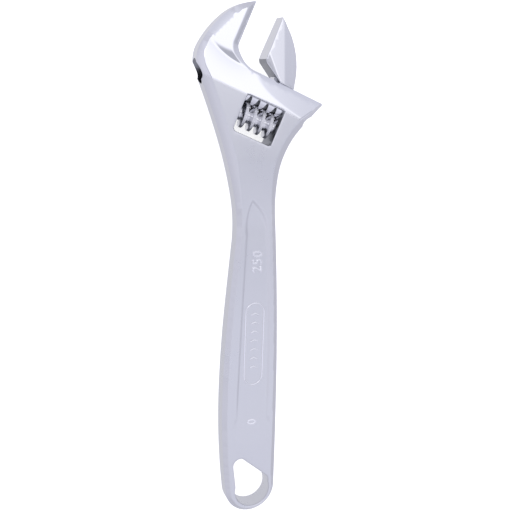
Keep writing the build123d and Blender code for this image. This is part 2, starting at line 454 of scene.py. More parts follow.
@dataclass
class Loop:
    """A closed edge of a forging, with material on its left.

    Args:
        points: the loop's points, one row each.
        rounding: the radius of the edge at each point.
    """

    points: np.ndarray
    rounding: np.ndarray

    def track(self) -> tuple[np.ndarray, np.ndarray]:
        """The loop as an open polyline that returns to its start, with its rounding."""
        return np.vstack([self.points, self.points[:1]]), np.append(self.rounding, self.rounding[0])

    def insets(self, share: float, extra: float = 0.0) -> tuple[np.ndarray, np.ndarray]:
        """The loop's points, moved into the material.

        Args:
            share: how far they move, as a share of the rounding.
            extra: how much further they move, in millimetres.

        Returns:
            The moved points, and how far each one moved.
        """
        along = np.roll(self.points, -1, 0) - np.roll(self.points, 1, 0)
        along /= np.linalg.norm(along, axis=1)[:, None]
        inward = np.stack([-along[:, 1], along[:, 0]], 1)
        depth = self.rounding * share + extra
        return self.points + inward * depth[:, None], depth


@dataclass
class Forging:
    """A flat forging, the same on both sides: outline, holes, and a height over them, with rounded edges.

    Args:
        name: what the piece is called.
        loops: the outline, anticlockwise, and then the holes, clockwise.
        height: the half thickness over points, before the edges are rounded.
        mid_z: the height of the middle plane.
        fine: the spacing of points where the surface bends.
        coarse_every: flat areas keep one fine point in this many, each way.
        bend: how far, in millimetres, a fine cell may bend before its points are kept.
    """

    name: str
    loops: list[Loop]
    height: Height
    mid_z: float
    fine: float = 0.4
    coarse_every: int = 4
    bend: float = 0.0012
    wall_band: float = 0.5
    ring_angles: tuple[float, ...] = (25.0, 50.0, 72.0, 90.0)

    def to_edges(self, points: np.ndarray) -> tuple[np.ndarray, np.ndarray]:
        """How far points are from the nearest edge.

        Args:
            points: the points to measure.

        Returns:
            The distances, and that edge's rounding at each.
        """
        far = np.full(len(points), 1e9)
        rounding = np.zeros(len(points))
        for loop in self.loops:
            gap, value = nearest(points, *loop.track())
            closer = gap < far
            far[closer], rounding[closer] = gap[closer], value[closer]
        return far, rounding

    def in_material(self, points: np.ndarray) -> np.ndarray:
        """Which points are inside the outline and outside every hole.

        Args:
            points: the points to test.

        Returns:
            One truth value for each point.
        """
        within = inside(points, self.loops[0].points)
        for loop in self.loops[1:]:
            within &= ~inside(points, loop.points)
        return within

    def surface(self, points: np.ndarray) -> np.ndarray:
        """The half thickness over points, with the edges rounded.

        Args:
            points: where to read it.

        Returns:
            The half thicknesses.
        """
        far, rounding = self.to_edges(points)
        short = np.clip(rounding - far, 0, rounding)
        return self.height(points) - rounding + np.sqrt(np.maximum(rounding**2 - short**2, 0))

    def field_points(self) -> np.ndarray:
        """Points over the inside.

        Returns:
            A fine grid where the surface bends, and a coarse one elsewhere.
        """
        low, high = self.loops[0].points.min(0), self.loops[0].points.max(0)
        xs = np.arange(low[0] - self.fine, high[0] + 2 * self.fine, self.fine)
        ys = np.arange(low[1] - self.fine, high[1] + 2 * self.fine, self.fine)
        gx, gy = np.meshgrid(xs, ys, indexing="ij")
        every = np.stack([gx.ravel(), gy.ravel()], 1)
        z = self.height(every).reshape(gx.shape)
        bends = np.zeros(gx.shape, bool)
        for axis in (0, 1):
            second = np.abs(np.roll(z, 1, axis) + np.roll(z, -1, axis) - 2 * z)
            bends |= second > self.bend
        for axis in (0, 1):
            bends = bends | np.roll(bends, 1, axis) | np.roll(bends, -1, axis)
        i, j = np.indices(gx.shape)
        keep = bends | ((i % self.coarse_every == 0) & (j % self.coarse_every == 0))
        chosen = every[keep.ravel()]
        chosen = chosen[self.in_material(chosen)]
        far, rounding = self.to_edges(chosen)
        return chosen[far > rounding + self.fine]

    def points_and_edges(self) -> tuple[np.ndarray, list[tuple[int, int]]]:
        """Everything that the triangles hang on.

        Returns:
            The points, the loops' own first, and the loops' runs as pairs of point numbers.
        """
        rows, edges, start = [], [], 0
        for loop in self.loops:
            count = len(loop.points)
            rows.append(loop.points)
            edges += [(start + i, start + (i + 1) % count) for i in range(count)]
            start += count
        shares = [(1 - math.cos(math.radians(a)), 0.0) for a in self.ring_angles]
        for loop in self.loops:
            for share, extra in shares:
                ring, depth = loop.insets(share, extra)
                good = self.in_material(ring) & (self.to_edges(ring)[0] > 0.9 * depth)
                rows.append(ring[good])
        rows.append(self.field_points())
        return np.concatenate(rows), edges

    def mesh(self) -> bpy.types.Mesh:
        """Both sides, and the walls between them.

        Returns:
            The closed mesh.
        """
        points, edges = self.points_and_edges()
        flat = [Vector((float(x), float(y))) for x, y in points]
        found, _, triangles, origins, _, _ = delaunay_2d_cdt(flat, edges, [], 1, 1e-5)
        plane = np.array([tuple(p) for p in found])
        triangles = np.array([tuple(t) for t in triangles])
        keep = self.in_material(plane[triangles].mean(1))
        triangles = triangles[keep]
        ab = plane[triangles[:, 1]] - plane[triangles[:, 0]]
        ac = plane[triangles[:, 2]] - plane[triangles[:, 0]]
        flipped = ab[:, 0] * ac[:, 1] - ab[:, 1] * ac[:, 0] < 0
        triangles[flipped] = triangles[flipped][:, ::-1]
        index = {source: i for i, sources in enumerate(origins) for source in sources}

        half = self.surface(plane)
        count = len(plane)
        above = np.column_stack([plane, self.mid_z + half])
        below = np.column_stack([plane, self.mid_z - half])
        vertices, faces = [above, below], [list(t) for t in triangles]
        faces += [[a + count, c + count, b + count] for a, b, c in triangles]
        start, used = 0, 2 * count
        for loop in self.loops:
            size = len(loop.points)
            rim = np.array([index[start + i] for i in range(size)])
            start += size
            near_top = np.column_stack([plane[rim], self.mid_z + half[rim] - self.wall_band])
            near_base = np.column_stack([plane[rim], self.mid_z - half[rim] + self.wall_band])
            vertices += [near_top, near_base]
            levels = [rim, used + np.arange(size), used + size + np.arange(size), rim + count]
            used += 2 * size
            for upper, lower in zip(levels, levels[1:]):
                for i in range(size):
                    j = (i + 1) % size
                    faces.append([lower[i], lower[j], upper[j], upper[i]])
        return mesh_from(self.name, np.concatenate(vertices), faces)


# ---- Finishes ------------------------------------------------------------------------------------


class Wire:
    """A node's output. Arithmetic on it adds Math nodes to its graph."""

    def __init__(self, graph: Graph, socket: bpy.types.NodeSocket) -> None:
        """Keeps the graph that the socket belongs to."""
        self.graph = graph
        self.socket = socket

    def math(self, operation: str, *others: Any) -> Wire:
        """A Math node on this value and the others, in that order."""
        values = {i: value for i, value in enumerate((self, *others))}
        return self.graph.node("ShaderNodeMath", {"operation": operation}, values)

    def __add__(self, other: Any) -> Wire:
        """This value plus another."""
        return self.math("ADD", other)

    __radd__ = __add__

    def __mul__(self, other: Any) -> Wire:
        """This value times another."""
        return self.math("MULTIPLY", other)

    __rmul__ = __mul__

    def __sub__(self, other: Any) -> Wire:
        """This value minus another."""
        return self.math("SUBTRACT", other)

    def __rsub__(self, other: float) -> Wire:
        """Another value minus this one."""
        return self.graph.node("ShaderNodeMath", {"operation": "SUBTRACT"}, {0: other, 1: self})


class Graph:
    """The nodes of a material or a world, ending in one shader."""

    def __init__(self, owner: bpy.types.Material | bpy.types.World, shader: str, output: str) -> None:
        """Empties the owner's tree, but for its shader and its output.

        Args:
            owner: the material or world.
            shader: the type of the shader node.
            output: the type of the output node.
        """
        owner.use_nodes = True
        self.tree = owner.node_tree
        self.tree.nodes.clear()
        self.shader = self.tree.nodes.new(shader)
        end = self.tree.nodes.new(output)
        self.tree.links.new(self.shader.outputs[0], end.inputs["Surface"])

    def feed(self, socket: bpy.types.NodeSocket, value: Any) -> None:
        """Links a wire to a socket, or sets the socket to a constant.

        Args:
            socket: the socket.
            value: the wire or the constant.
        """
        if isinstance(value, Wire):
            self.tree.links.new(value.socket, socket)
        else:
            socket.default_value = value

    def node(self, kind: str, settings: dict[str, Any], inputs: dict[Any, Any], output: Any = 0) -> Wire:
        """Adds a node of any kind.

        Args:
            kind: the node's type.
            settings: its properties. "stops" are a colour ramp's positions and colours.
            inputs: wires or constants, by socket name or number.
            output: the name or number of the output to use.

        Returns:
            The wire that leaves that output.
        """
        node = self.tree.nodes.new(kind)
        for key, value in settings.items():
            if key == "stops":
                ramp = node.color_ramp.elements
                for place, (at, colour) in enumerate(value):
                    stop = ramp[place] if place < 2 else ramp.new(at)
                    stop.position = at
                    stop.color = (*colour, 1.0)
            else:
                setattr(node, key, value)
        for key, value in inputs.items():
            self.feed(node.inputs[key], value)
        return Wire(self, node.outputs[output])

    def slope(self, value: Wire, low: float, high: float) -> Wire:
        """A smooth step from 0 to 1 while a value goes from low to high."""
        settings = {"interpolation_type": "SMOOTHSTEP"}
        return self.node("ShaderNodeMapRange", settings, {"Value": value, "From Min": low, "From Max": high})

    def dot(self, where: Wire, direction: Sequence[float]) -> Wire:
        """How far positions are along a direction."""
        settings = {"operation": "DOT_PRODUCT"}
        return self.node("ShaderNodeVectorMath", settings, {0: where, 1: tuple(direction)}, "Value")

    def place(self, scale: tuple[float, float, float] = (1.0, 1.0, 1.0)) -> Wire:
        """Positions on the object in metres.

        Args:
            scale: how far they are stretched along each axis.

        Returns:
            The positions' wire.
        """
        where = self.node("ShaderNodeTexCoord", {}, {}, "Object")
        if scale == (1.0, 1.0, 1.0):
            return where
        return self.node("ShaderNodeVectorMath", {"operation": "MULTIPLY"}, {0: where, 1: scale})

    def noise(self, where: Wire, scale: float, detail: float = 2.0) -> Wire:
        """Soft noise from 0 to 1."""
        return self.node("ShaderNodeTexNoise", {}, {"Vector": where, "Scale": scale, "Detail": detail}, "Fac")

    def mix(self, share: Wire, first: Wire | Colour, second: Wire | Colour) -> Wire:
        """A colour between two, by share.

        Args:
            share: 0 for the first, 1 for the second.
            first: a wire, or a constant colour.
            second: a wire, or a constant colour.

        Returns:
            The colour's wire.
        """
        pair = [c if isinstance(c, Wire) else (*c, 1.0) for c in (first, second)]
        return self.node("ShaderNodeMix", {"data_type": "RGBA"}, {0: share, 6: pair[0], 7: pair[1]}, 2)

    def bump(self, height: Wire, distance: float, strength: float = 1.0) -> None:
        """Raises the surface by height times a distance in metres."""
        inputs = {"Height": height, "Distance": distance, "Strength": strength}
        self.feed(self.shader.inputs["Normal"], self.node("ShaderNodeBump", {}, inputs, "Normal"))


class Finish(Graph):
    """A material's nodes, ending in a Principled shader."""

    def __init__(self, name: str) -> None:
        """Makes the material."""
        self.material = bpy.data.materials.new(name)
        super().__init__(self.material, "ShaderNodeBsdfPrincipled", "ShaderNodeOutputMaterial")


@dataclass(frozen=True)
class ChromePlate:
    """Chrome plate over a forging, satin, or polished past a line across the head.

    Args:
        name: the material's name.
        light: the plate's colour.
        dark: its colour in the slightly duller patches.
        satin: the roughness of the satin areas.
        polished: the roughness of the polished areas.
        polish_from: where along v the polish starts, in millimetres, or None where all of it is polished.
        satin_tint: how light the satin areas are, next to the polished ones.
        polish_band: how wide the change from satin to polished is, in millimetres.
        grain: how deep the blasted grain of the satin areas is, in metres.
        ripple: how deep the slow unevenness of the forging is, in metres.
        cloud_scale: how many dull patches there are in a metre.
        speck_scale: how many grains of the blasting there are in a metre.
        drawn_scale: the same for the polishing marks, along each axis.
        ripple_scale: the same for the slow unevenness.
    """

    name: str
    light: Colour
    dark: Colour
    satin: float
    polished: float
    polish_from: float | None
    satin_tint: float = 0.90
    polish_band: float = 1.5
    grain: float = 0.000012
    ripple: float = 0.00008
    cloud_scale: float = 45.0
    speck_scale: float = 1400.0
    drawn_scale: tuple[float, float, float] = (900.0, 60.0, 900.0)
    ripple_scale: float = 30.0

    def tinted(self, colour: Colour) -> Colour:
        """A colour of the polished areas, made duller for the satin ones."""
        return tuple(channel * self.satin_tint for channel in colour)

    def material(self, axes: HeadAxes) -> bpy.types.Material:
        """Builds the nodes.

        Args:
            axes: the head's directions, for the line across it.

        Returns:
            The material.
        """
        graph = Finish(self.name)
        where = graph.place()
        cloud = graph.noise(where, self.cloud_scale, 3.0)
        speck = graph.noise(where, self.speck_scale, 3.0)
        drawn = graph.noise(graph.place(self.drawn_scale), 1.0, 2.0)
        colour = graph.mix(cloud, self.dark, self.light)
        if self.polish_from is None:
            roughness = self.polished + (cloud - 0.5) * 0.03 + (drawn - 0.5) * 0.02
            relief = speck * 0.15
        else:
            v = graph.dot(where, (math.sin(axes.angle), math.cos(axes.angle), 0.0))
            start, end = self.polish_from * MM, (self.polish_from + self.polish_band) * MM
            polish = graph.slope(v, start, end)
            worn = (cloud - 0.5) * 0.10 + (speck - 0.5) * 0.06 + (drawn - 0.5) * 0.06
            roughness = polish * (self.polished - self.satin) + self.satin + (1.0 - polish * 0.8) * worn
            relief = speck * (1.0 - polish * 0.9)
            duller = graph.mix(cloud, self.tinted(self.dark), self.tinted(self.light))
            colour = graph.mix(polish, duller, colour)
        slow = graph.noise(where, self.ripple_scale, 1.0)
        graph.feed(graph.shader.inputs["Base Color"], colour)
        graph.feed(graph.shader.inputs["Roughness"], roughness)
        graph.feed(graph.shader.inputs["Metallic"], 1.0)
        graph.bump(relief + slow * (self.ripple / self.grain), self.grain)
        return graph.material


@dataclass(frozen=True)
class TurnedSteel:
    """Bare or plated steel that was turned or drawn: fine rings round it, and a little oil in the grooves.

    Args:
        name: the material's name.
        light: the colour of the rubbed places.
        dark: the colour where dirt and oil stay.
        roughness: its roughness.
        rings: how many turning marks there are in a metre.
        smear_scale: how many smears of oil there are in a metre.
        mark_depth: how deep the turning marks are, in metres.
    """

    name: str
    light: Colour
    dark: Colour
    roughness: float
    rings: float
    smear_scale: float = 420.0
    mark_depth: float = 0.000008

    def material(self, axes: HeadAxes) -> bpy.types.Material:
        """Builds the nodes.

        Args:
            axes: the head's directions, for the turning marks.

        Returns:
            The material.
        """
        graph = Finish(self.name)
        where = graph.place()
        along = (math.cos(axes.angle), -math.sin(axes.angle), 0.0)
        u = graph.dot(where, along)
        marks = (u * (self.rings * 2 * math.pi)).math("SINE") * 0.5 + 0.5
        smear = graph.noise(where, self.smear_scale, 4.0)
        graph.feed(graph.shader.inputs["Base Color"], graph.mix(smear, self.dark, self.light))
        graph.feed(graph.shader.inputs["Roughness"], (smear - 0.5) * 0.2 + self.roughness)
        graph.feed(graph.shader.inputs["Metallic"], 1.0)
        graph.bump(marks * 0.4 + smear, self.mark_depth)
        return graph.material


CHROME = (
    ChromePlate("body_chrome", (0.90, 0.905, 0.93), (0.85, 0.86, 0.90), 0.30, 0.09, 76.0),
    ChromePlate("jaw_chrome", (0.90, 0.905, 0.93), (0.86, 0.865, 0.90), 0.3, 0.13, None),
    ChromePlate("mark_chrome", (0.97, 0.975, 0.99), (0.93, 0.935, 0.96), 0.3, 0.14, None),
    # The fourth plate is painted shade: a darker copy of the chrome for the hanging hole's wall.
    ChromePlate("hole_shade_chrome", (0.74, 0.76, 0.80), (0.60, 0.62, 0.67), 0.3, 0.2, None),
)
STEEL = (
    TurnedSteel("worm_steel", (0.92, 0.92, 0.94), (0.72, 0.72, 0.74), 0.16, 2500.0),
    TurnedSteel("pin_steel", (0.62, 0.62, 0.64), (0.35, 0.35, 0.36), 0.3, 4000.0),
    TurnedSteel("spring_steel", (0.42, 0.42, 0.44), (0.25, 0.25, 0.26), 0.35, 1000.0),
    # The fourth steel is painted shade: dark colours for the window's walls, the bore, the keyhole, the jaw's
    # relief and the rack's grooves, where shade falls.
    TurnedSteel("inner_shade_steel", (0.42, 0.43, 0.46), (0.20, 0.21, 0.23), 0.3, 1500.0),
)


def dress(piece: bpy.types.Object, *materials: bpy.types.Material) -> None:
    """Gives a piece its materials, with the first one all over it."""
    piece.data.materials.clear()
    for material in materials:
        piece.data.materials.append(material)


# ---- Forged body ---------------------------------------------------------------------------------


@dataclass
class ForgedBody:
    """The forging: handle, head, fixed jaw and shelf, with its window, keyhole and hanging hole."""

    axes: HeadAxes
    mid_z: float
    cheek: float
    plate: float = 5.2
    soft_edge: float = 1.7
    crisp_edge: float = 0.35
    step: float = 0.7

    fixed_face_u: float = -52.5
    jaw_tip_v: float = 116.15
    throat_top_v: float = 95.5
    shelf_start: Point = (-41.1, 87.9)
    shelf_end: Point = (-2.42, 87.9)
    end_centre: Point = (0.7, -114.3)
    end_radius: float = 13.1
    right_side: tuple[Point, ...] = ((13.2, -55.0), (9.2, 28.0), (9.9, 48.0), (20.8, 70.9))
    left_side: tuple[Point, ...] = (
        (-15.3, -62.0),
        (-13.3, -18.0),
        (-10.6, 14.0),
        (-11.9, 38.5),
        (-19.3, 66.4),
        (-30.3, 95.6),
        (-29.7, 107.8),
        (-18.0, 121.8),
    )

    side_slope: float = 0.56
    fade_y: float = 24.0
    full_y: float = 56.0
    crease_v: float = 76.0
    valley_v: float = 87.7
    valley_u: float = -48.5
    valley_bow: float = 0.0145
    belly_bow: float = 1.35
    jaw_rise: float = 0.09
    jaw_top: float = 5.5
    jaw_tilt: float = 0.0244
    lip_height: float = 4.92
    lip_slope: float = 0.18

    panel_depth: float = 0.85
    panel_side: float = 1.7
    ridge_height: float = 0.04
    panel_fade: tuple[float, float] = (-92.0, -58.0)

    rack_axis_v: float = 77.2
    bore_radius: float = 4.55
    bore_start_u: float = -80.0
    bore_length: float = 90.0
    slot_length: float = 70.0
    slot_start_u: float = -56.2
    slot_half: float = 2.8
    slot_top_v: float = 88.7
    window: tuple[float, float, float, float] = (-40.1, 59.2, -19.9, 77.0)
    window_corner: float = 1.8
    pin_axis_v: float = 68.2
    pin_tip_hole: tuple[float, float, float] = (-46.85, 8.0, 1.8)
    pin_head_hole: tuple[float, float, float] = (-21.0, 22.0, 2.55)
    hole_top_y: float = -96.0

    def soft_track(self) -> np.ndarray:
        """The long rounded edge.

        Returns:
            Points from the shelf's tip down the handle, round its end and up to the jaw's
            tip.
        """
        step, c = self.step, self.end_centre
        tip = tuple(self.axes.to_row([self.shelf_end])[0])
        face = tuple(self.axes.to_row([(self.fixed_face_u, self.jaw_tip_v)])[0])
        right_foot = (c[0] + self.end_radius, c[1])
        turn = math.radians(187)
        left_foot = (c[0] + self.end_radius * math.cos(turn), c[1] + self.end_radius * math.sin(turn))
        right = tangent_arcs(right_foot, math.pi / 2, [*self.right_side, tip], step)
        right = np.vstack([right, tip])[::-1]
        end = arc_through(right_foot, (c[0], c[1] - self.end_radius), left_foot, step)
        left = tangent_arcs(left_foot, math.radians(97), [*self.left_side, face], step)
        return np.vstack([right[:-1], end, left, face])

    def crisp_track(self) -> np.ndarray:
        """The gripping face and the throat.

        Returns:
            Points from the jaw's tip to the start of the shelf.
        """
        to_row = self.axes.to_row
        face = line((self.fixed_face_u, self.jaw_tip_v), (self.fixed_face_u, self.throat_top_v), self.step)
        bend = (-47.4, 89.9)
        upper = hermite((self.fixed_face_u, self.throat_top_v), (0.0, -6.0), bend, (4.8, -3.2), self.step)
        lower = hermite(bend, (4.8, -3.2), self.shelf_start, (6.0, 0.0), self.step)
        return to_row(np.vstack([face, upper, lower, self.shelf_start]))

    def outline(self) -> Loop:
        """The whole outline.

        Returns:
            The loop, anticlockwise, with its rounding.
        """
        soft, crisp = self.soft_track()[::-1], self.crisp_track()
        shelf = self.axes.to_row(line(self.shelf_start, self.shelf_end, self.step))
        points = np.vstack([soft[:-1], shelf[:0:-1], crisp[::-1][:-1]])[::-1]
        gap, _ = nearest(points, np.vstack([crisp, shelf[-1:]]))
        rounding = self.crisp_edge + (self.soft_edge - self.crisp_edge) * ease(gap / 3.0)
        return Loop(points, rounding)

    def window_loop(self) -> Loop:
        """The worm's window.

        Returns:
            The loop, clockwise.
        """
        u0, v0, u1, v1 = self.window
        r = self.window_corner
        rows = []
        corners = (
            (u1 - r, v1 - r, 0.0),
            (u0 + r, v1 - r, 90.0),
            (u0 + r, v0 + r, 180.0),
            (u1 - r, v0 + r, 270.0),
        )
        ends = []
        for u, v, first in corners:
            turns = [math.radians(first + a) for a in (0.0, 45.0, 90.0)]
            ends.append([(u + r * math.cos(t), v + r * math.sin(t)) for t in turns])
        for here, following in zip(ends, ends[1:] + ends[:1]):
            rows.append(arc_through(*here, 0.35))
            rows.append(line(here[-1], following[0], self.step))
        points = self.axes.to_row(np.vstack(rows))[::-1]
        return Loop(points, np.full(len(points), self.crisp_edge))

    def hanging_hole(self) -> Loop:
        """The hole in the handle's end, round below and slanted above.

        Returns:
            The loop, clockwise.
        """
        corner, top, right = (-8.9, -101.6), (-4.2, -97.2), (8.7, -107.9)
        rows = [
            line((-7.4, -113.0), corner, self.step),
            tangent_arcs(corner, math.atan2(11.4, -1.5), [top], 0.5),
            line(top, right, self.step),
            arc_through(right, (9.9, -109.5), (10.1, -112.0), 0.5),
            arc_through((10.1, -112.0), (1.5, -124.3), (-7.4, -113.0), self.step),
        ]
        points = np.vstack(rows)
        return Loop(points, np.full(len(points), 0.6))

    def panel(self) -> np.ndarray:
        """The rim of the shallow panel on the handle.

        Returns:
            Its points.
        """
        top, right, foot = (-3.4, 37.0), (5.4, 21.0), (8.6, -75.0)
        rows = [
            arc_through(top, (2.4, 30.4), right, 1.0),
            arc_through(right, (8.0, -28.0), foot, 1.0),
            arc_through(foot, (0.0, -90.0), (-8.3, -75.0), 1.0),
            arc_through((-8.3, -75.0), (-7.2, -28.0), (-5.7, 20.0), 1.0),
            arc_through((-5.7, 20.0), (-5.6, 30.0), top, 1.0),
        ]
        return np.vstack(rows)

    def shelf_bevel(self, u: np.ndarray, v: np.ndarray) -> np.ndarray:
        """The plane of the shelf's bevel, through its start, its lower corner and its tip.

        Args:
            u: where to read it, along u.
            v: where to read it, along v.

        Returns:
            The half thickness there.
        """
        start, corner, tip = (-41.1, 87.5, 5.4), (-7.4, 78.5, 6.2), (-2.42, 87.9, 4.5)
        rows = np.array([[1, p[0], p[1]] for p in (start, corner, tip)])
        a, b, c = np.linalg.solve(rows, [p[2] for p in (start, corner, tip)])
        return a + b * u + c * v

    def height(self, points: np.ndarray) -> np.ndarray:
        """The half thickness, before the edges are rounded.

        Args:
            points: where to read it.

        Returns:
            The half thicknesses.
        """
        u, v = self.axes.from_row(points)
        y = points[:, 1]
        side = self.plate + (nearest(points, self.soft_track())[0] - self.soft_edge) * self.side_slope
        fade = self.plate + (y - self.fade_y) * (self.cheek - self.plate) / (self.full_y - self.fade_y)
        valley = self.valley_v + self.valley_bow * (u - self.valley_u) ** 2
        t = np.clip((v - self.crease_v) / (valley - self.crease_v), 0, 1.6)
        belly = self.cheek - (self.cheek - self.plate) * t**self.belly_bow
        cheeks = soft_min(soft_min(belly, fade, 0.08), side, 0.12)
        to_side = side - np.minimum(belly, np.maximum(fade, self.plate))
        ridge = self.ridge_height * np.exp(-((to_side / 0.2) ** 2))

        rise = self.plate + self.jaw_rise * (v - valley)
        back = self.jaw_top - self.jaw_tilt * (self.fixed_face_u - u)
        lip = self.lip_height + self.lip_slope * nearest(points, self.crisp_track())[0]
        jaw = soft_min(soft_min(rise, back, 0.1), lip, 0.12)
        top = soft_max(np.where(v > valley, jaw, self.plate), cheeks, 0.12)
        top = top + np.where(v < self.crease_v, ridge, 0.0)
        top = np.where(u > self.shelf_start[0], soft_min(top, self.shelf_bevel(u, v), 0.06), top)

        rim = self.panel()
        depth = nearest(points, np.vstack([rim, rim[:1]]))[0] * np.where(inside(points, rim), 1, -1)
        low, high = self.panel_fade
        reach = ease((y - low) / (high - low))
        top = np.minimum(top, self.cheek)
        return top - self.panel_depth * reach * ease((depth + 0.5) / self.panel_side)

    def cutters(self) -> list[bpy.types.Mesh]:
        """The keyhole for the jaw and the two holes for the worm's pin.

        Returns:
            The meshes to take away.
        """
        place = self.axes.place
        slot_high = (self.slot_top_v - self.rack_axis_v, self.slot_half, self.slot_length)
        slot_place = place(self.slot_start_u, self.rack_axis_v, self.mid_z)
        bore_place = place(self.bore_start_u, self.rack_axis_v, self.mid_z)
        pieces = [
            rod_mesh(self.bore_radius, self.bore_length, bore_place),
            block_mesh((0, -self.slot_half, 0), slot_high, slot_place),
        ]
        for start, length, radius in (self.pin_tip_hole, self.pin_head_hole):
            pieces.append(rod_mesh(radius, length, place(start, self.pin_axis_v, self.mid_z), 48))
        return pieces

    def paint_inside_shade(self, mesh: bpy.types.Mesh) -> None:
        """Paints shade: the window's walls, the bore and the keyhole get the second material, and the hanging
        hole's wall the third.

        Args:
            mesh: the forging's mesh.
        """
        middles, normals = face_places(mesh)
        u, v = self.axes.from_row(middles[:, :2])
        z = np.abs(middles[:, 2] - self.mid_z)
        u0, v0, u1, v1 = self.window
        lip = self.crisp_edge * 0.5
        window = (u > u0 - lip) & (u < u1 + lip) & (v > v0 - lip) & (v < v1 + lip)
        to_axis = np.hypot(v - self.rack_axis_v, z)
        along_slide = np.abs(normals[:, :2] @ self.axes.to_row([(1.0, 0.0)])[0])
        bore = (to_axis < self.bore_radius + 0.05) & (along_slide < 0.2)
        slot = (z < self.slot_half + 0.05) & (u > self.slot_start_u)
        slot &= (v > self.rack_axis_v) & (v < self.slot_top_v)
        from_end = np.hypot(middles[:, 0] - self.end_centre[0], middles[:, 1] - self.end_centre[1])
        upright = np.abs(normals[:, 2]) < 0.3
        hole = upright & (middles[:, 1] < self.hole_top_y) & (from_end < self.end_radius + 4.0)
        hole &= inside(middles[:, :2], self.hanging_hole().insets(0.0, -0.4)[0])
        # Painted shade: darker materials on the hanging hole's wall and on the window's, bore's and keyhole's
        # walls.
        paint(mesh, hole, 2)
        paint(mesh, window | bore | (slot & (np.abs(normals[:, 2]) > 0.9)), 1)

    def build(self, *materials: bpy.types.Material) -> bpy.types.Object:
        """Makes the forging and hides the CAD one.

        Args:
            materials: the plate's, the painted shade of the window's, bore's and keyhole's walls, and the
                painted shade of the hanging hole's wall.

        Returns:
            The forging.
        """
        loops = [self.outline(), self.window_loop(), self.hanging_hole()]
        forging = Forging("forged_body", loops, self.height, self.mid_z)
        piece = new_piece("forged_body", forging.mesh())
        cut(piece, self.cutters())
        shade(piece.data, 32)
        dress(piece, *materials)
        self.paint_inside_shade(piece.data)
        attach(piece, Body.FORGING.value)
        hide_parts("body")
        return piece


# ---- Sliding jaw ---------------------------------------------------------------------------------


